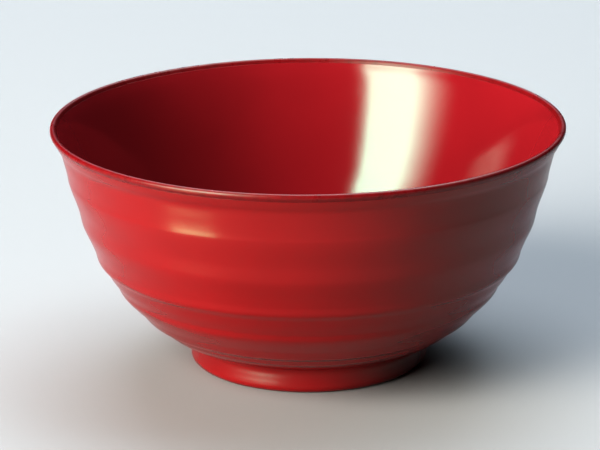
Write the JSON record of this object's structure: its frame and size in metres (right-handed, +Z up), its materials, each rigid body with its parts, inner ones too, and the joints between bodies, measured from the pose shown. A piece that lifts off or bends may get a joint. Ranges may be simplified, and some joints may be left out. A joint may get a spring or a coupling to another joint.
{
  "type": "rice bowl",
  "caption": "Deep round bowl with a beaded, flared lip, soft turned rings round the outside and a low hollow foot ring; mirror-gloss lacquer inside, satin lacquer outside, over turned wood.",
  "frame": {"origin": "centre of the plane the foot stands on", "axes": "+Z up along the bowl's axis; the bowl is round, so +X and +Y point anywhere across it"},
  "size_m": [0.18, 0.18, 0.086],
  "materials": {
    "bare_wood": "turned, uncoated",
    "gloss_lacquer": "mirror-gloss vermilion lacquer",
    "satin_lacquer": "satin vermilion lacquer"
  },
  "bodies": {
    "root": {"wooden_body": "bare_wood", "foot_ring": "bare_wood", "inside_lacquer": "gloss_lacquer", "lip_lacquer": "gloss_lacquer", "outside_lacquer": "satin_lacquer", "foot_lacquer": "satin_lacquer", "underside_lacquer": "satin_lacquer"}
  },
  "joints": []
}
